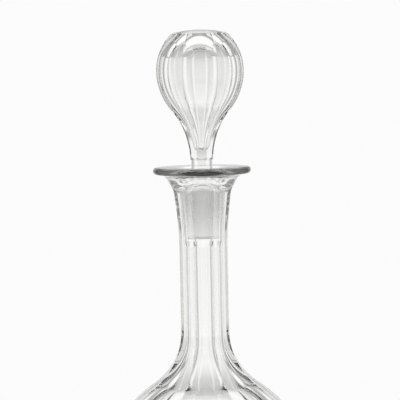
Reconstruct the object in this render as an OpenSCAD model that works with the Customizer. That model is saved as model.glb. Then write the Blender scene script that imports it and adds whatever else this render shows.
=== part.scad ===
// Shaft-and-globe wine decanter of clear glass with a ground-in stopper.
// The neck and shoulder are cut in long flat panels, and so is the hollow
// head of the stopper. The axis is +Z, the flat base stands on z = 0, and
// one panel faces -Y.

/* [Globe] */
// Diameter of the round body
globe_d = 131; // [126:1:136]
// Diameter of the flat that the body stands on
base_d = 69; // [62:1:74]
// Thickness of the glass at the widest part of the body
wall = 5.6; // [4.5:0.1:7]
// Thickness of the glass in the middle of the floor
floor_t = 8; // [7:0.5:12]
// Diameter of the polished hollow under the base
hollow_d = 46; // [36:1:52]
// Depth of the polished hollow under the base
hollow_depth = 1.6; // [0.8:0.1:2.4]

/* [Neck] */
// Height of the vessel from its base to the top of the lip
vessel_h = 248; // [243:0.5:254]
// Width of the neck across two opposite panels
neck_flats = 30.2; // [29:0.1:32]
// Diameter of the bore below the ground seat
bore_d = 16.8; // [16:0.1:17.6]
// Diameter of the lip
lip_d = 61.8; // [58:0.2:66]
// Thickness of the lip at its rounded edge
lip_t = 4.4; // [3.6:0.1:5.2]
// Radius of the rounded way into the mouth
mouth_r = 8.6; // [7:0.1:9.5]

/* [Panels] */
// Number of panels round the neck, and round the stopper head
panels = 8; // [6:1:8]
// Radius of the hollow sweep from the neck into the shoulder
flare_r = 44; // [42:1:48]
// Radius of the round of the panels over the shoulder
shoulder_r = 91; // [88:1:94]
// Height at which the middle of a panel runs out on the body
panel_foot_z = 70; // [68:0.5:74]

/* [Stopper] */
// Height of the stopper above the lip
stopper_rise = 86.2; // [85:0.1:88]
// Width of the head across two opposite panels
head_flats = 54.6; // [53.4:0.2:57]
// Height of the widest part of the head above the lip
head_rise = 60.5; // [59:0.5:62]
// Radius of the side of the head above its widest part
crown_r = 32.8; // [31:0.2:34]
// Radius of the side of the head below its widest part
belly_r = 37.8; // [36:0.2:39]
// Radius of the hollow sweep from the head down to the stem
sweep_r = 50.4; // [48:0.2:52]
// Diameter of the round stem
stem_d = 14; // [13.4:0.1:14]
// Thickness of the glass round the hollow of the head
head_wall = 5; // [4.5:0.1:6]
// Thickness of the glass above the hollow of the head
crown_t = 5; // [4.5:0.1:6.5]

/* [Ground joint] */
// Diameter of the plug at its top
plug_d = 20.4; // [20:0.1:21]
// Length of the ground plug
plug_len = 29.6; // [27:0.2:31]
// Diameter that the plug loses for each millimetre of length
plug_taper = 0.06; // [0.05:0.005:0.07]
// Depth of the top of the plug below the lip
plug_drop = 15.2; // [14.6:0.1:16]
// Gap all round between the plug and its seat
seat_gap = 0.05; // [0.03:0.01:0.1]

/* [Hidden] */
$fn = 180;

// Reach of every cutting shape past the glass
reach = 80;
// Small lap where one round hands over to the next, so that they cross cleanly
lap = 0.005;
// Share by which the corners of the panelled section stand out past its flats
corner = 1 / cos(180 / panels);

// Globe and its hollow
globe_r = globe_d / 2;
base_r = base_d / 2;
globe_z = sqrt(globe_r^2 - base_r^2);
cavity_r = globe_r - wall;
cavity_drop = 0.5;
cavity_z = globe_z - cavity_drop;
floor_r = 130;
bore_r = bore_d / 2;
throat_r = 34;
hollow_r = (hollow_d^2 / 4 + hollow_depth^2) / (2 * hollow_depth);

// Neck and lip, as blown round before cutting
neck_a = neck_flats / 2;
blank_r = neck_a * corner + 0.6;
blank_flare_r = 38;
lip_r = lip_d / 2;
lip_edge = lip_t / 2;
lip_under_z = vessel_h - lip_t;
lip_flare_r = 8.6;
lip_flare_z = lip_under_z - lip_flare_r;
upper_flare_r = 240;
upper_flare_z = vessel_h - 52.3;

// Panels: the round of the shoulder meets the globe at panel_foot_z
globe_at_foot = sqrt(globe_r^2 - (panel_foot_z - globe_z)^2);
shoulder_z = 36;
shoulder_x = globe_at_foot - sqrt(shoulder_r^2 - (panel_foot_z - shoulder_z)^2);
panel_below_foot = 4;
panel_head_r = 12.6;
panel_head_z = lip_under_z - 1.4 - panel_head_r;

// Ground joint
plug_r = plug_d / 2;
plug_z = vessel_h - plug_drop;
plug_foot_z = plug_z - plug_len;
plug_bevel = 1.2;
half_taper = plug_taper / 2;
seat_foot_z = plug_foot_z - 1.5;
seat_step_h = 3;
mouth_z = vessel_h - mouth_r + lap;
mouth_x = seat_r(mouth_z) + mouth_r;

// Stopper head and stem
stem_r = stem_d / 2;
head_a = head_flats / 2;
head_z = vessel_h + head_rise;
top_z = vessel_h + stopper_rise;
crown_x = head_a - crown_r;
belly_x = head_a - belly_r;
waist_a = stem_r + 0.2;
waist_z = sweep_z(waist_a, sweep_r, belly_x, head_z, belly_r, -1);
collar_h = 4;
collar_r = 7.5;
collar_x = stem_r + 1.1 - collar_r;
crown_dome_r = 75;

// Hollow of the head, with a small ball at the end of its tail
hollow_dome_r = 24;
tip_r = 3;
tail_r = sweep_r + head_wall;
tip_z = waist_z + sqrt(tail_r^2 - (waist_a + sweep_r - lap - tip_r)^2);

// Radius of the ground seat at height z
function seat_r(z) = plug_r + seat_gap + (z - plug_z) * half_taper;

// Radius of the slowly widening upper neck at height z, r at its waist
function upper_neck_r(r, z) = r + upper_flare_r - sqrt(upper_flare_r^2 - (z - upper_flare_z)^2);

// Height of the centre of a sweep of radius r, which leads from the upright
// line x = line to a circle of radius big at [big_x, big_z] under or over it
function sweep_z(line, r, big_x, big_z, big, side) =
    big_z + side * sqrt((big + r - lap)^2 - (line + r - lap - big_x)^2);

// Half the section that this hollow sweep fills in
module sweep_2d(line, r, big_x, big_z, big, side = 1) {
    x = line + r - lap;
    z = sweep_z(line, r, big_x, big_z, big, side);
    share = big / (big + r);
    turn = [big_x + (x - big_x) * share, big_z + (z - big_z) * share];
    difference() {
        polygon(side > 0
            ? [[0, big_z], turn, [x, z], [0, z]]
            : [[0, z], [x, z], turn, [0, big_z]]);
        translate([x, z]) circle(r);
    }
}

// The part of a flat shape on the right of the axis, between two heights
module between(low, high) {
    intersection() {
        children();
        translate([0, low]) square([reach, high - low]);
    }
}

// The upper neck, which widens from radius r and turns out in a round of
// radius turn_r, centred at height turn_z; all is kept past that, up to high
module upper_neck_2d(r, turn_r, turn_z, high) {
    turn_x = upper_neck_r(r, turn_z) + turn_r;
    below = upper_flare_z - 1;
    difference() {
        translate([0, upper_flare_z]) square([reach, high - upper_flare_z]);
        between(below, turn_z + 2)
            translate([r + upper_flare_r - lap, upper_flare_z]) circle(upper_flare_r, $fn = 720);
        translate([turn_x, turn_z]) circle(turn_r);
        translate([turn_x, below]) square([reach, turn_z + turn_r - lap - below]);
    }
}

// The blown blank of the vessel, right half of its section
module blank_2d() {
    between(0, vessel_h) translate([0, globe_z]) circle(globe_r);
    sweep_2d(blank_r, blank_flare_r, 0, globe_z, globe_r);
    translate([0, globe_z]) square([blank_r, lip_flare_z - globe_z]);
    upper_neck_2d(blank_r, lip_flare_r, lip_flare_z + lap, lip_under_z);
    translate([0, lip_under_z]) square([lip_r - lip_edge, lip_t]);
    translate([lip_r - lip_edge, vessel_h - lip_edge]) circle(lip_edge);
}

// Section of the neck and shoulder out to the middle of a panel
module neck_panel_2d(low, high) {
    foot_z = panel_foot_z - panel_below_foot;
    translate([0, low]) square([reach, foot_z - low]);
    between(foot_z, vessel_h) {
        translate([shoulder_x, shoulder_z]) circle(shoulder_r);
        sweep_2d(neck_a, flare_r, shoulder_x, shoulder_z, shoulder_r);
    }
    translate([0, foot_z]) square([neck_a, panel_head_z - foot_z]);
    upper_neck_2d(neck_a, panel_head_r, panel_head_z, high);
}

// Section of the stopper head out to the middle of a panel
module head_panel_2d(low, high) {
    between(head_z, high) translate([crown_x, head_z]) circle(crown_r);
    between(waist_z, head_z) translate([belly_x, head_z]) circle(belly_r);
    sweep_2d(waist_a, sweep_r, belly_x, head_z, belly_r, -1);
    translate([0, low]) square([waist_a, waist_z + 1 - low]);
}

// A round blank, the first child, with the panels cut in it one after another:
// glass is kept up to the section of a panel, the second child, on the panel's
// own side of the axis, and all of it on the other side
module cut_panels(low, high, count = panels) {
    core = 1;
    if (count == 0) {
        children(0);
    } else {
        intersection() {
            cut_panels(low, high, count - 1) {
                children(0);
                children(1);
            }
            rotate([0, 0, (count - 1) * 360 / panels - 90])
                rotate([90, 0, 0])
                    linear_extrude(height = 2 * reach, center = true) {
                        children(1);
                        translate([-reach, low]) square([reach + core, high - low]);
                    }
        }
    }
}

// The room inside the vessel: globe, throat, bore, a short cone to the wider
// ground seat, and mouth
module cavity_2d() {
    intersection() {
        between(0, vessel_h) translate([0, cavity_z]) circle(cavity_r);
        translate([0, floor_t + floor_r]) circle(floor_r);
    }
    sweep_2d(bore_r, throat_r, 0, cavity_z, cavity_r);
    translate([0, cavity_z]) square([bore_r, seat_foot_z - cavity_z]);
    polygon([
        [0, seat_foot_z - seat_step_h],
        [bore_r, seat_foot_z - seat_step_h],
        [seat_r(seat_foot_z), seat_foot_z],
        [seat_r(mouth_z + 1), mouth_z + 1],
        [0, mouth_z + 1]
    ]);
    difference() {
        translate([0, mouth_z]) square([mouth_x, mouth_r + 1]);
        translate([mouth_x, mouth_z]) circle(mouth_r);
    }
}

module vessel() color([0.86, 0.89, 0.87, 0.4]) {
    low = -1;
    high = vessel_h + 1;
    difference() {
        cut_panels(low, high) {
            rotate_extrude() blank_2d();
            neck_panel_2d(low, high);
        }
        rotate_extrude() cavity_2d();
        translate([0, 0, hollow_depth - hollow_r]) sphere(hollow_r);
    }
}

// Round limit of the head: gently domed on top, tucked in to the stem at its foot
module head_limit_2d() {
    between(waist_z + collar_h, top_z + 1)
        translate([0, top_z - crown_dome_r]) circle(crown_dome_r);
    between(waist_z, waist_z + collar_h + 1)
        translate([collar_x, waist_z + collar_h]) circle(collar_r);
}

// Round stem with the ground plug and the dome on top of it, right half
module plug_2d() {
    foot_r = plug_r - (plug_len - plug_bevel) * half_taper;
    translate([0, plug_z]) square([stem_r, waist_z + 1 - plug_z]);
    between(plug_z, top_z) translate([0, plug_z]) circle(plug_r);
    polygon([
        [0, plug_foot_z],
        [foot_r - plug_bevel, plug_foot_z],
        [foot_r, plug_foot_z + plug_bevel],
        [plug_r, plug_z],
        [0, plug_z]
    ]);
}

// The blown hollow inside the head, right half
module head_hollow_2d() {
    intersection() {
        between(head_z, top_z) translate([crown_x, head_z]) circle(crown_r - head_wall);
        translate([0, top_z - crown_t - hollow_dome_r]) circle(hollow_dome_r);
    }
    between(tip_z - tip_r / 6, head_z) {
        translate([belly_x, head_z]) circle(belly_r - head_wall);
        sweep_2d(waist_a - head_wall, tail_r, belly_x, head_z, belly_r - head_wall, -1);
    }
    between(waist_z, head_z) translate([0, tip_z]) circle(tip_r);
}

module stopper() color([0.88, 0.9, 0.89, 0.4]) {
    low = waist_z - 1;
    high = top_z + 10;
    difference() {
        union() {
            cut_panels(low, high) {
                rotate_extrude() head_limit_2d();
                head_panel_2d(low, high);
            }
            rotate_extrude() plug_2d();
        }
        rotate_extrude() head_hollow_2d();
    }
}

vessel();
stopper();
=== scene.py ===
"""The looks of the wine decanter: clear cut glass on a plain pale floor, in soft studio light."""
import math

import bpy
import numpy as np
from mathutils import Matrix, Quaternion, Vector


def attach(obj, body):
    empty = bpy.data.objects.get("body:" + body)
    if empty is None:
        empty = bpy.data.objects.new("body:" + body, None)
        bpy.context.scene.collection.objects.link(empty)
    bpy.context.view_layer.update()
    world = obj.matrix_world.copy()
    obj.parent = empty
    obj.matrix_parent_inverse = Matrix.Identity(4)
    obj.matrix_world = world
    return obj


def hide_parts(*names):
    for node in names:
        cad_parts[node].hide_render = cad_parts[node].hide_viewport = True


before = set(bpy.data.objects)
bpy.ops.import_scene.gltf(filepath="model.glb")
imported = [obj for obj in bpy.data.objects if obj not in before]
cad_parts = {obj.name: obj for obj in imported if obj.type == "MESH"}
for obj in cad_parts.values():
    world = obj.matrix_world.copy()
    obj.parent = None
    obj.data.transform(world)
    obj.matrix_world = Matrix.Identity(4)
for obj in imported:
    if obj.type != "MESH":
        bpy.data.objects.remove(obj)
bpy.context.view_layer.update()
scene = bpy.context.scene
scene.view_settings.view_transform = "Standard"

# The vessel: one gather of clear glass. The globe, neck and lip are blown round, the neck and
# shoulder are then cut in eight long panels and polished, and the seat in the mouth is ground to
# the plug of the stopper. Sizes are in millimetres.
mm = 0.001
panels = 8
globe_r = 65.5
base_r = 34.5
globe_z = math.sqrt(globe_r**2 - base_r**2)
base_round = 1.0
hollow_r = 23.0
hollow_depth = 1.6
vessel_h = 248.0

neck_a = 15.1
flare_r = 44.0
shoulder_r = 91.0
shoulder_z = 36.0
panel_foot_z = 70.0
arris_r = 0.35
upper_flare_r = 240.0
upper_flare_drop = 52.3
upper_flare_z = vessel_h - upper_flare_drop

lip_r = 30.9
lip_edge = 2.2
lip_flare_r = 8.6
lip_flare_z = vessel_h - 2 * lip_edge - lip_flare_r
blank_over = 0.6
blank_r = neck_a / math.cos(math.pi / panels) + blank_over
panel_head_r = 12.6
panel_head_drop = 1.4
panel_head_z = lip_flare_z + lip_flare_r - panel_head_drop - panel_head_r

bore_r = 8.4
throat_r = 34.0
wall = 5.6
cavity_r = globe_r - wall
cavity_drop = 0.5
cavity_z = globe_z - cavity_drop
floor_t = 8.0
floor_r = 130.0
plug_r = 10.2
plug_drop = 15.2
plug_z = vessel_h - plug_drop
half_taper = 0.03
plug_len = 29.6
seat_gap = 0.05
seat_spare = 1.5
seat_foot_z = plug_z - plug_len - seat_spare
seat_step_h = 3.0
mouth_r = 8.6

# The ground zone lies within ground_r of the axis, starts seat_rise above the plug's top and fades
# out seat_fade below the seat. The painted shade on the rim, a dark grey put into the glass's colour,
# comes in over the last of these lengths.
ground_r = plug_r + 0.4
seat_rise = 2.0
seat_fade = 11.0
painted_shade_fade = 1.0


def eased(low, high, steps):
    """Rows from low to high, closer together at both ends: a half turn of a cosine."""
    share = (1 - np.cos(np.linspace(0, math.pi, steps + 1)))[:, None] / 2
    return low + (high - low) * share


def panel_columns(flat_steps, arris_steps):
    """The columns of a section cut in equal panels, the first facing -Y.

    Each column has a point on the polygon whose sides are 1 from the axis, and the way that its
    surface faces. Along a side the point moves and the facing stays, and at a corner the point
    stays and the facing turns, so that a rounded arris comes out at any size.
    """
    half = math.pi / panels
    along = np.sin(np.linspace(-1, 1, flat_steps + 1) * math.pi / 2) * math.tan(half)
    turn = np.linspace(0, 2 * half, arris_steps + 1)[1:-1]
    across = np.concatenate((along, np.full(len(turn), math.tan(half))))
    facing = np.concatenate((np.zeros(len(along)), turn))
    middle = np.arange(panels)[:, None] * 2 * half - math.pi / 2
    corner = np.stack((
        np.cos(middle) - across * np.sin(middle),
        np.sin(middle) + across * np.cos(middle),
    ))
    face = np.stack((np.cos(middle + facing), np.sin(middle + facing)))
    return corner.reshape(2, -1), face.reshape(2, -1)


def cut_section(flat, corner, face):
    """A panelled section whose sides are `flat` from the axis: the polygon drawn in by the radius
    of its arrises, and moved out again by that radius along the way it faces."""
    return (flat - arris_r) * corner[:, None, :] + arris_r * face[:, None, :]


def crossing(gap, low, high):
    """Where a gap turns from below zero to above it, by halving, for all columns at once."""
    for _ in range(50):
        middle = (low + high) / 2
        above = gap(middle) > 0
        high = np.where(above, middle, high)
        low = np.where(above, low, middle)
    return (low + high) / 2


def round_rows(radius, height, way):
    """Rows of a round surface: radius and height as rows by columns, and each column's own bearing."""
    radius, height = np.broadcast_arrays(radius, height, np.zeros((1, way.shape[-1])))[:2]
    return np.stack((radius * np.cos(way), radius * np.sin(way), height))


def closed_mesh(name, shells):
    """One mesh from shells. A shell is a grid of rows by columns that closes on itself round the
    axis; its first and last rows are single points on the axis, so each end is a fan."""
    points, quads, fans, start = [], [], [], 0
    for grid in shells:
        rows, columns = grid.shape[1] - 2, grid.shape[2]
        body = grid[:, 1:-1].reshape(3, -1).T
        ends = grid[:, (0, -1), 0].T
        points += [body, ends]
        index = start + np.arange(rows * columns).reshape(rows, columns)
        beside = np.roll(index, -1, axis=1)
        quads.append(np.stack((index[:-1], beside[:-1], beside[1:], index[1:]), -1).reshape(-1, 4))
        first, last = start + rows * columns, start + rows * columns + 1
        fans.append(np.stack((np.full(columns, first), beside[0], index[0]), -1))
        fans.append(np.stack((np.full(columns, last), index[-1], beside[-1]), -1))
        start += rows * columns + 2
    quads, fans = np.concatenate(quads), np.concatenate(fans)
    mesh = bpy.data.meshes.new(name)
    mesh.from_pydata((np.concatenate(points) * mm).tolist(), [], quads.tolist() + fans.tolist())
    mesh.polygons.foreach_set("use_smooth", np.ones(len(mesh.polygons), bool))
    mesh.update()
    piece = bpy.data.objects.new(name, mesh)
    scene.collection.objects.link(piece)
    return piece


def neck_flat(z):
    """Distance of a neck panel from the axis at height z: the round of the shoulder, the hollow
    sweep, the upright neck, the slow widening and the round under the lip, one above another."""
    root = neck_a + upper_flare_r - math.sqrt(upper_flare_r**2 - (panel_head_z - upper_flare_z) ** 2)

    def arc(r, middle):
        """Half the chord of a circle of radius r at height z, its middle at the height given."""
        return np.sqrt(np.maximum(r**2 - (z - middle) ** 2, 0))

    return np.select(
        (z < turn_z, z < flare_z, z < upper_flare_z, z < panel_head_z),
        (
            shoulder_x + arc(shoulder_r, shoulder_z),
            neck_a + flare_r - arc(flare_r, flare_z),
            neck_a + 0 * z,
            neck_a + upper_flare_r - arc(upper_flare_r, upper_flare_z),
        ),
        root + panel_head_r - arc(panel_head_r, panel_head_z),
    )


globe_at_foot = math.sqrt(globe_r**2 - (panel_foot_z - globe_z) ** 2)
shoulder_x = globe_at_foot - math.sqrt(shoulder_r**2 - (panel_foot_z - shoulder_z) ** 2)
flare_z = shoulder_z + math.sqrt((shoulder_r + flare_r) ** 2 - (neck_a + flare_r - shoulder_x) ** 2)
turn_z = shoulder_z + (flare_z - shoulder_z) * shoulder_r / (shoulder_r + flare_r)
lip_flare_x = (
    blank_r + upper_flare_r - math.sqrt(upper_flare_r**2 - (lip_flare_z - upper_flare_z) ** 2) + lip_flare_r
)


def vessel_grid():
    """The skin of the vessel from the middle of the base out over the globe, up the panels, round
    the lip and down the mouth, seat, a short cone, bore and throat to the middle of the floor inside."""
    corner, face = panel_columns(24, 7)
    none = np.zeros((1, corner.shape[1]))

    def out(z):
        """Distance of the panelled section from the axis, at height z, along each column."""
        return np.hypot(*cut_section(neck_flat(z), corner, face))

    def globe_out(z):
        """Radius of the globe at height z."""
        return np.sqrt(globe_r**2 - (z - globe_z) ** 2)

    def lip_out(z):
        """Radius at height z of the hollow round that carries the neck out to the lip."""
        return lip_flare_x - np.sqrt(lip_flare_r**2 - (z - lip_flare_z) ** 2)

    # The panels run out on the globe and under the lip, each column at its own height. Between
    # level_low and level_high the rows are level, and outside them they lean over to those heights.
    foot = crossing(lambda z: globe_out(z) - out(z), none + panel_foot_z - 4, none + panel_foot_z + 38)
    head = crossing(lambda z: out(z) - lip_out(z), none + lip_flare_z - 3.5, none + lip_flare_z + 6.5)
    level_low = 112.0
    level_high = vessel_h - 21.5
    height = np.concatenate((
        eased(foot[0], none[0] + level_low, 36),
        none + np.linspace(level_low, flare_z, 27)[1:, None],
        none + np.linspace(flare_z, upper_flare_z, 9)[1:, None],
        none + np.linspace(upper_flare_z, level_high, 9)[1:, None],
        eased(none[0] + level_high, head[0], 18)[1:],
    ))
    x, y = cut_section(neck_flat(height), corner, face)
    cut = np.stack((x, y, height))
    low_way = np.arctan2(y[0], x[0])
    high_way = np.arctan2(y[-1], x[-1])

    hollow = np.linspace(0, hollow_r, 13)[:, None]
    hollow_bend = (hollow_r**2 + hollow_depth**2) / (2 * hollow_depth)
    under = round_rows(hollow, hollow_depth - hollow_bend + np.sqrt(hollow_bend**2 - hollow**2), low_way)
    round_x = math.sqrt((globe_r - base_round) ** 2 - (globe_z - base_round) ** 2)
    ring = round_rows(eased(hollow_r, round_x, 8)[1:], 0.0, low_way)
    lean = math.asin((globe_z - base_round) / (globe_r - base_round))
    bend = np.linspace(-math.pi / 2, -lean, 7)[1:, None]
    edge = round_rows(round_x + base_round * np.cos(bend), base_round + base_round * np.sin(bend), low_way)
    climb = eased(np.full(low_way.shape, -lean), np.arcsin((height[0] - globe_z) / globe_r), 56)[1:-1]
    globe = round_rows(globe_r * np.cos(climb), globe_z + globe_r * np.sin(climb), low_way)

    run_out = np.arcsin((height[-1] - lip_flare_z) / lip_flare_r)
    bend = eased(run_out, np.full(low_way.shape, math.pi / 2), 16)[1:]
    under_lip = round_rows(
        lip_flare_x - lip_flare_r * np.cos(bend), lip_flare_z + lip_flare_r * np.sin(bend), high_way
    )
    bend = np.linspace(-math.pi / 2, math.pi / 2, 25)[1:, None]
    lip = round_rows(
        lip_r - lip_edge + lip_edge * np.cos(bend), vessel_h - lip_edge + lip_edge * np.sin(bend), high_way
    )
    mouth_z = vessel_h - mouth_r
    seat_top = plug_r + seat_gap + (mouth_z - plug_z) * half_taper
    top = round_rows(eased(lip_r - lip_edge, seat_top + mouth_r, 8)[1:], vessel_h, high_way)
    bend = np.linspace(math.pi / 2, math.pi, 21)[1:, None]
    mouth = round_rows(
        seat_top + mouth_r + mouth_r * np.cos(bend), mouth_z + mouth_r * np.sin(bend), high_way
    )
    fall = eased(mouth_z, seat_foot_z, 22)[1:]
    seat = round_rows(plug_r + seat_gap + (fall - plug_z) * half_taper, fall, high_way)
    share = eased(0.0, 1.0, 8)[1:]
    seat_foot_r = plug_r + seat_gap + (seat_foot_z - plug_z) * half_taper
    step = round_rows(
        seat_foot_r + share * (bore_r - seat_foot_r), seat_foot_z - share * seat_step_h, high_way
    )
    throat_z = cavity_z + math.sqrt((cavity_r + throat_r) ** 2 - (bore_r + throat_r) ** 2)
    bore = round_rows(bore_r, eased(seat_foot_z - seat_step_h, throat_z, 12)[1:], high_way)
    slope = math.asin((throat_z - cavity_z) / (cavity_r + throat_r))
    bend = np.linspace(math.pi, math.pi + slope, 19)[1:, None]
    throat = round_rows(
        bore_r + throat_r + throat_r * np.cos(bend), throat_z + throat_r * np.sin(bend), high_way
    )
    top_of_floor = floor_t + floor_r
    middles_apart = top_of_floor - cavity_z
    floor_meet = ((top_of_floor**2 - cavity_z**2) - (floor_r**2 - cavity_r**2)) / (2 * middles_apart)
    bend = eased(slope, math.asin((floor_meet - cavity_z) / cavity_r), 58)[1:]
    room = round_rows(cavity_r * np.cos(bend), cavity_z + cavity_r * np.sin(bend), high_way)
    span = eased(math.sqrt(cavity_r**2 - (floor_meet - cavity_z) ** 2), 0.0, 20)[1:]
    floor = round_rows(span, top_of_floor - np.sqrt(floor_r**2 - span**2), high_way)
    outside = (under, ring, edge, globe, cut, under_lip, lip, top)
    inside = (mouth, seat, step, bore, throat, room, floor)
    return np.concatenate(outside + inside, axis=1)


def glass(name, ground_low, ground_high, painted_shade_r):
    """Clear glass: polished, with slow ripples from fire and wheel, a faint tint that grows with
    thickness, and a ground zone near the axis that is coarsest at ground_high, its upper end, and
    fades out at ground_low. Above that zone and beyond the radius it is given, the glass has painted
    shade: a dark grey colour that stands in for the dark its thick rim shows."""
    material = bpy.data.materials.new(name)
    material.use_nodes = True
    tree = material.node_tree
    shader = tree.nodes["Principled BSDF"]
    shader.inputs["IOR"].default_value = 1.52
    shader.inputs["Transmission Weight"].default_value = 1

    def node(kind, **settings):
        """A new shader node of a kind, with its settings."""
        made = tree.nodes.new("ShaderNode" + kind)
        for key, value in settings.items():
            setattr(made, key, value)
        return made

    def math_node(operation, first, second):
        """One sum on two values, each a number or another node's output."""
        made = node("Math", operation=operation)
        for socket, value in zip(made.inputs, (first, second)):
            if isinstance(value, bpy.types.NodeSocket):
                tree.links.new(value, socket)
            else:
                socket.default_value = value
        return made.outputs[0]

    place = node("TexCoord").outputs["Object"]
    split = node("SeparateXYZ")
    tree.links.new(place, split.inputs[0])
    x, y, z = split.outputs

    radius = math_node("SQRT", math_node("ADD", math_node("POWER", x, 2), math_node("POWER", y, 2)), 0)
    coarse = node("MapRange", interpolation_type="SMOOTHSTEP")
    coarse.inputs["From Min"].default_value = ground_low * mm
    coarse.inputs["From Max"].default_value = ground_high * mm
    tree.links.new(z, coarse.inputs["Value"])
    below = math_node("LESS_THAN", z, ground_high * mm)
    inside = math_node("LESS_THAN", radius, ground_r * mm)
    ground = math_node("MULTIPLY", coarse.outputs["Result"], math_node("MULTIPLY", below, inside))

    # Painted shade on the lip's rim: above the ground zone and beyond a radius, the glass's colour is dark
    # grey, for the dark the rim shows in this light.
    above = math_node("GREATER_THAN", z, ground_high * mm)
    rim = node("MapRange", interpolation_type="SMOOTHSTEP")
    rim.inputs["From Min"].default_value = painted_shade_r * mm
    rim.inputs["From Max"].default_value = (painted_shade_r + painted_shade_fade) * mm
    tree.links.new(radius, rim.inputs["Value"])
    # A Mix node takes its two colours at inputs 6 and 7, and its two numbers at 2 and 3.
    painted_rim_tone = node("Mix", data_type="RGBA")
    tree.links.new(math_node("MULTIPLY", above, rim.outputs["Result"]), painted_rim_tone.inputs["Factor"])
    painted_rim_tone.inputs[6].default_value = (1, 1, 1, 1)
    painted_rim_tone.inputs[7].default_value = (0.16, 0.16, 0.15, 1)
    tree.links.new(painted_rim_tone.outputs[2], shader.inputs["Base Color"])

    grain = node("TexNoise")
    grain.inputs["Scale"].default_value = 2600
    grain.inputs["Detail"].default_value = 3
    tree.links.new(place, grain.inputs["Vector"])
    wipe = node("TexNoise")
    wipe.inputs["Scale"].default_value = 45
    wipe.inputs["Detail"].default_value = 4
    tree.links.new(place, wipe.inputs["Vector"])
    polished = math_node("MULTIPLY", math_node("SUBTRACT", wipe.outputs["Fac"], 0.5), 0.02)
    matt = math_node("ADD", math_node("MULTIPLY", grain.outputs["Fac"], 0.12), 0.3)
    rough = node("Mix", data_type="FLOAT", clamp_result=True)
    tree.links.new(ground, rough.inputs["Factor"])
    tree.links.new(polished, rough.inputs[2])
    tree.links.new(matt, rough.inputs[3])
    tree.links.new(rough.outputs[0], shader.inputs["Roughness"])

    ripple = node("TexNoise")
    ripple.inputs["Scale"].default_value = 38
    ripple.inputs["Detail"].default_value = 1
    tree.links.new(place, ripple.inputs["Vector"])
    wave = node("Bump")
    wave.inputs["Strength"].default_value = 0.35
    wave.inputs["Distance"].default_value = 0.0003
    tree.links.new(ripple.outputs["Fac"], wave.inputs["Height"])
    fine = node("Bump")
    fine.inputs["Distance"].default_value = 0.00006
    tree.links.new(math_node("MULTIPLY", ground, 0.6), fine.inputs["Strength"])
    tree.links.new(grain.outputs["Fac"], fine.inputs["Height"])
    tree.links.new(wave.outputs["Normal"], fine.inputs["Normal"])
    tree.links.new(fine.outputs["Normal"], shader.inputs["Normal"])

    body = node("VolumeAbsorption")
    body.inputs["Color"].default_value = (0.8, 0.8, 0.782, 1)
    body.inputs["Density"].default_value = 28
    tree.links.new(body.outputs["Volume"], tree.nodes["Material Output"].inputs["Volume"])
    return material


vessel = closed_mesh("vessel_glass_skin", [vessel_grid()])
vessel_glass = glass("vessel glass", seat_foot_z - seat_fade, plug_z + seat_rise, lip_r - lip_edge)
vessel.data.materials.append(vessel_glass)
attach(vessel, "vessel")
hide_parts("vessel")

# The stopper: one piece of clear glass, blown hollow in the head, cut outside in eight panels that
# run down to the round stem, and fine-ground on the plug, by which it sits in the mouth. The hollow
# is sealed inside the glass.
head_rise = 60.5
head_z = vessel_h + head_rise
stopper_rise = 86.2
top_z = vessel_h + stopper_rise
head_a = 27.3
crown_r = 32.8
belly_r = 37.8
sweep_r = 50.4
stem_r = 7.0
waist_over = 0.2
waist_a = stem_r + waist_over
crown_x = head_a - crown_r
belly_x = head_a - belly_r
sweep_x = waist_a + sweep_r
waist_z = head_z - math.sqrt((belly_r + sweep_r) ** 2 - (sweep_x - belly_x) ** 2)
crown_dome_r = 75.0
brow_soft = 0.7
collar_r = 7.5
collar_over = 1.1
collar_x = stem_r + collar_over - collar_r
collar_rise = 4.0
collar_z = waist_z + collar_rise
head_wall = 5.0
hollow_dome_r = 24.0
crown_t = 5.0
hollow_dome_z = top_z - crown_t - hollow_dome_r
tip_r = 3.0
plug_foot_z = plug_z - plug_len
plug_edge = 1.2

# The plug's own ground zone starts plug_rise above its top. It gets finer all the way down, and it
# would fade out plug_fade below the foot. Nothing on the stopper is as far out as the radius below, so
# it gets none of the painted shade of the vessel's rim.
plug_rise = 0.3
plug_fade = 20.0
no_painted_shade_r = globe_r


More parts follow.
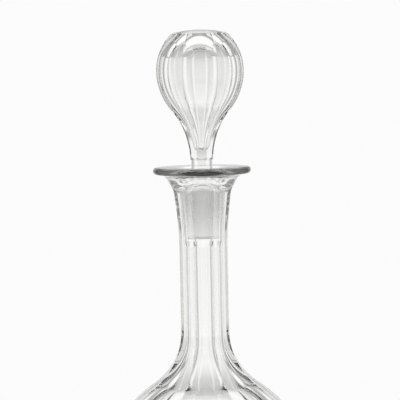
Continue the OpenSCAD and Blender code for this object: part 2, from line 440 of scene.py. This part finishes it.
def stopper_grid():
    """The skin of the stopper from the middle of its domed top over a softened edge and down the
    crown, belly and sweep of the panels, in to the stem, over the dome and down the plug to the
    middle of its foot. The edge is a parabola between a point on each side of it."""
    corner, face = panel_columns(20, 7)
    none = np.zeros((1, corner.shape[1]))

    def sweep_flat(z):
        """Distance of a panel from the axis on the hollow sweep."""
        return sweep_x - np.sqrt(sweep_r**2 - (z - waist_z) ** 2)

    def collar_out(z):
        """Radius of the round on which the panels run out, just above the stem."""
        return collar_x + np.sqrt(collar_r**2 - (z - collar_z) ** 2)

    def past_collar(z):
        """How far the panelled sweep stands out past that round."""
        return np.hypot(*cut_section(sweep_flat(z), corner, face)) - collar_out(z)

    def crown_section(z):
        """Points of the panelled section on the round of the crown."""
        return np.stack((*cut_section(crown_x + np.sqrt(crown_r**2 - (z - head_z) ** 2), corner, face), z))

    def top_height(out):
        """Height of the domed top at a distance from the axis: a shallow ball."""
        return top_z - crown_dome_r + np.sqrt(crown_dome_r**2 - out**2)

    def above_top(z):
        """How far the crown at height z stands above the domed top."""
        return z - top_height(np.hypot(*crown_section(z)[:2]))

    brow_z = crossing(above_top, none + head_z + 15, none + top_z)
    edge = crown_section(brow_z)
    below = crown_section(brow_z - brow_soft)
    inner = edge[:2] * (1 - brow_soft / np.hypot(*edge[:2]))
    above = np.stack((*inner, top_height(np.hypot(*inner))))
    step = np.linspace(0, 1, 9)[:, None]
    brow = (1 - step) ** 2 * above + 2 * step * (1 - step) * edge + step**2 * below
    x, y = above[:2] * eased(0.0, 1.0, 12)[:-1]
    top = np.stack((x, y, top_height(np.hypot(x, y))))

    over = np.arcsin((below[2] - head_z) / crown_r) * np.linspace(1, 0, 30)[1:, None]
    turn = math.asin((waist_z - head_z) / (belly_r + sweep_r))
    under = np.linspace(0, turn, 24)[1:, None]
    belly_foot_z = head_z + belly_r * math.sin(turn)
    tuck = crossing(past_collar, none + collar_z, none + waist_z + 0.1)
    drop = eased(np.full(none.shape[1], belly_foot_z), tuck[0], 44)[1:]
    flat = np.concatenate((
        none + crown_x + crown_r * np.cos(over),
        none + belly_x + belly_r * np.cos(under),
        sweep_flat(drop),
    ))
    height = np.concatenate((
        none + head_z + crown_r * np.sin(over),
        none + head_z + belly_r * np.sin(under),
        drop,
    ))
    x, y = cut_section(flat, corner, face)
    cut = np.stack((x, y, height))
    way = np.arctan2(y[-1], x[-1])

    stem_top = collar_z - math.sqrt(collar_r**2 - (stem_r - collar_x) ** 2)
    fall = eased(tuck[0], np.full(none.shape[1], stem_top), 8)[1:]
    collar = round_rows(collar_out(fall), fall, way)
    dome_top = plug_z + math.sqrt(plug_r**2 - stem_r**2)
    stem = round_rows(stem_r, eased(stem_top, dome_top, 14)[1:], way)
    bend = np.linspace(math.acos(stem_r / plug_r), 0, 16)[1:, None]
    dome = round_rows(plug_r * np.cos(bend), plug_z + plug_r * np.sin(bend), way)
    edge_z = plug_foot_z + plug_edge
    fall = eased(plug_z, edge_z, 22)[1:]
    plug = round_rows(plug_r + (fall - plug_z) * half_taper, fall, way)
    foot_r = plug_r + (edge_z - plug_z) * half_taper - plug_edge
    bend = np.linspace(0, math.pi / 2, 9)[1:, None]
    plug_round = round_rows(foot_r + plug_edge * np.cos(bend), edge_z - plug_edge * np.sin(bend), way)
    foot = round_rows(eased(foot_r, 0.0, 10)[1:], plug_foot_z, way)
    return np.concatenate((top, brow, cut, collar, stem, dome, plug, plug_round, foot), axis=1)[:, ::-1]


def hollow_grid():
    """The wall of the hollow in the head: a round dome, the inner rounds of crown and belly, a
    tapering tail and a small ball at its end. It faces into the hollow."""
    way = np.linspace(-math.pi, math.pi, 160, endpoint=False)
    inner_crown = crown_r - head_wall
    inner_belly = belly_r - head_wall
    tail_r = sweep_r + head_wall

    def past_crown(r):
        """How far the dome stands above the inner round of the crown, at a distance from the axis."""
        dome_z = np.sqrt(hollow_dome_r**2 - r**2) + hollow_dome_z
        return dome_z - head_z - np.sqrt(np.maximum(inner_crown**2 - (r - crown_x) ** 2, 0))

    rim = crossing(past_crown, np.array(10.0), np.array(inner_crown + crown_x))
    span = eased(0.0, float(rim), 30)
    dome = round_rows(span, hollow_dome_z + np.sqrt(hollow_dome_r**2 - span**2), way)
    bend = np.linspace(math.acos((float(rim) - crown_x) / inner_crown), 0, 12)[1:, None]
    crown = round_rows(crown_x + inner_crown * np.cos(bend), head_z + inner_crown * np.sin(bend), way)
    turn = math.asin((waist_z - head_z) / (belly_r + sweep_r))
    bend = np.linspace(0, turn, 22)[1:, None]
    belly = round_rows(belly_x + inner_belly * np.cos(bend), head_z + inner_belly * np.sin(bend), way)
    tip_z = waist_z + math.sqrt(tail_r**2 - (sweep_x - tip_r) ** 2)
    fall = eased(head_z + inner_belly * math.sin(turn), tip_z, 32)[1:]
    tail = round_rows(sweep_x - np.sqrt(tail_r**2 - (fall - waist_z) ** 2), fall, way)
    bend = np.linspace(0, -math.pi / 2, 10)[1:, None]
    tip = round_rows(tip_r * np.cos(bend), tip_z + tip_r * np.sin(bend), way)
    return np.concatenate((dome, crown, belly, tail, tip), axis=1)


stopper = closed_mesh("stopper_glass_skin", [stopper_grid(), hollow_grid()])
stopper_glass = glass("stopper glass", plug_foot_z - plug_fade, plug_z + plug_rise, no_painted_shade_r)
stopper.data.materials.append(stopper_glass)
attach(stopper, "stopper")
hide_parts("stopper")

# The floor: a round plain pale table top, sized in metres. Near the decanter it keeps its shadow, and
# further out it goes over to the white of the backdrop, so that no edge shows. Through the glass it
# glows: white under the decanter, a painted pool of the light the glass gathers there, and greyer round it.
around = np.linspace(0, 2 * math.pi, 96, endpoint=False)
table_r = 0.7
table = bpy.data.meshes.new("floor")
brim = np.stack((table_r * np.cos(around), table_r * np.sin(around), 0 * around), -1)
table.from_pydata(brim.tolist(), [], [list(range(len(brim)))])
floor = bpy.data.objects.new("floor", table)
scene.collection.objects.link(floor)
pale = bpy.data.materials.new("pale floor")
pale.use_nodes = True
tree = pale.node_tree
matt = tree.nodes["Principled BSDF"]
matt.inputs["Base Color"].default_value = (0.88, 0.88, 0.87, 1)
matt.inputs["Roughness"].default_value = 1
matt.inputs["Specular IOR Level"].default_value = 0
white = tree.nodes.new("ShaderNodeEmission")
white.inputs["Color"].default_value = (0.95, 0.95, 0.94, 1)
clear = tree.nodes.new("ShaderNodeBsdfTransparent")
place = tree.nodes.new("ShaderNodeTexCoord")
away = tree.nodes.new("ShaderNodeVectorMath")
away.operation = "LENGTH"
tree.links.new(place.outputs["Object"], away.inputs[0])


def fading(near, far):
    """A share that grows with the distance from the axis: none up to near, all of it past far."""
    fade = tree.nodes.new("ShaderNodeMapRange")
    fade.interpolation_type = "SMOOTHSTEP"
    fade.inputs["From Min"].default_value = near
    fade.inputs["From Max"].default_value = far
    tree.links.new(away.outputs["Value"], fade.inputs["Value"])
    return fade.outputs["Result"]


# Painted light: to rays through the glass the floor glows at full strength under the decanter, and a fifth
# less round it.
dim = tree.nodes.new("ShaderNodeMath")
dim.operation = "MULTIPLY_ADD"
tree.links.new(fading(near=0.09, far=0.16), dim.inputs[0])
dim.inputs[1].default_value = -0.2
dim.inputs[2].default_value = 1
tree.links.new(dim.outputs[0], white.inputs["Strength"])
top = tree.nodes.new("ShaderNodeMixShader")
tree.links.new(tree.nodes.new("ShaderNodeLightPath").outputs["Is Transmission Ray"], top.inputs["Fac"])
tree.links.new(matt.outputs[0], top.inputs[1])
tree.links.new(white.outputs[0], top.inputs[2])
edge = tree.nodes.new("ShaderNodeMixShader")
tree.links.new(fading(near=0.2, far=0.65), edge.inputs["Fac"])
tree.links.new(top.outputs[0], edge.inputs[1])
tree.links.new(clear.outputs[0], edge.inputs[2])
tree.links.new(edge.outputs[0], tree.nodes["Material Output"].inputs["Surface"])
table.materials.append(pale)

# The light: a white tent all round with a soft box overhead. A darker band runs between the two, the
# wall straight behind the decanter is a little greyer, and soft grey seams between the four walls draw
# the edges of the glass. The camera itself sees it all white.
world = bpy.data.worlds.new("light tent")
scene.world = world
world.use_nodes = True
tree = world.node_tree


def tent(kind, **settings):
    """A new node in the light tent, with its settings."""
    made = tree.nodes.new("ShaderNode" + kind)
    for key, value in settings.items():
        setattr(made, key, value)
    return made


def tent_math(operation, *values):
    """One sum in the light tent, on numbers or on other nodes' outputs."""
    made = tent("Math", operation=operation)
    for socket, value in zip(made.inputs, values):
        if isinstance(value, bpy.types.NodeSocket):
            tree.links.new(value, socket)
        else:
            socket.default_value = value
    return made.outputs[0]


split = tent("SeparateXYZ")
tree.links.new(tent("TexCoord").outputs["Generated"], split.inputs[0])
upward = split.outputs[2]
aside = tent_math("ABSOLUTE", tent_math("ARCTAN2", split.outputs[0], split.outputs[1]))


def share(value, none, full):
    """A share that goes smoothly with a value: nothing where it is at none, one where it is at full."""
    made = tent("MapRange", interpolation_type="SMOOTHSTEP")
    made.inputs["From Min"].default_value = none
    made.inputs["From Max"].default_value = full
    tree.links.new(value, made.inputs["Value"])
    return made.outputs["Result"]


def shade(depth, *shares):
    """What is left of the light: one, less a depth times all the shares."""
    for each in shares:
        depth = tent_math("MULTIPLY", depth, each)
    return tent_math("SUBTRACT", 1.0, depth)


swing = tent_math("COSINE", tent_math("MULTIPLY", aside, 4))
seam = tent_math("POWER", tent_math("MULTIPLY_ADD", swing, -0.5, 0.5), 5)
between = shade(0.6, share(upward, none=0.26, full=0.42), share(upward, none=0.66, full=0.5))
behind = shade(
    0.42,
    share(aside, none=0.34, full=0.2),
    share(upward, none=-0.2, full=0.15),
    share(upward, none=0.42, full=0.26),
)
seams = shade(0.62, seam, share(upward, none=0.5, full=0.3))
bright = tent_math("MULTIPLY_ADD", share(upward, none=0.6, full=0.8), 0.1, 1.05)
for each in (between, behind, seams):
    bright = tent_math("MULTIPLY", bright, each)
lit = tent("Mix", data_type="FLOAT")
tree.links.new(tent("LightPath").outputs["Is Camera Ray"], lit.inputs["Factor"])
tree.links.new(bright, lit.inputs[2])
lit.inputs[3].default_value = 0.97
tree.links.new(lit.outputs[0], tree.nodes["Background"].inputs["Color"])

# The camera: a little above the lip, a metre and a half away, tilted as the photograph is. Light
# crosses many walls of glass on its way there, so its paths may be long.
camera = bpy.data.objects.new("camera", bpy.data.cameras.new("camera"))
scene.collection.objects.link(camera)
scene.camera = camera
distance = 1.5
half_view = 0.126
rise = math.radians(3.0)
roll = math.radians(1.15)
aim_aside = -1.6
aim_drop = 20.9
eye = Vector((0, -distance * math.cos(rise), vessel_h * mm + distance * math.sin(rise)))
aim = Vector((aim_aside * mm, 0, (vessel_h - aim_drop) * mm))
look = (aim - eye).normalized()
camera.location = eye
camera.rotation_mode = "QUATERNION"
camera.rotation_quaternion = Quaternion(look, roll) @ look.to_track_quat("-Z", "Y")
camera.data.sensor_width = 36
camera.data.lens = camera.data.sensor_width / 2 * (aim - eye).length / half_view
scene.cycles.max_bounces = 12
scene.cycles.transmission_bounces = 12
scene.cycles.glossy_bounces = 12
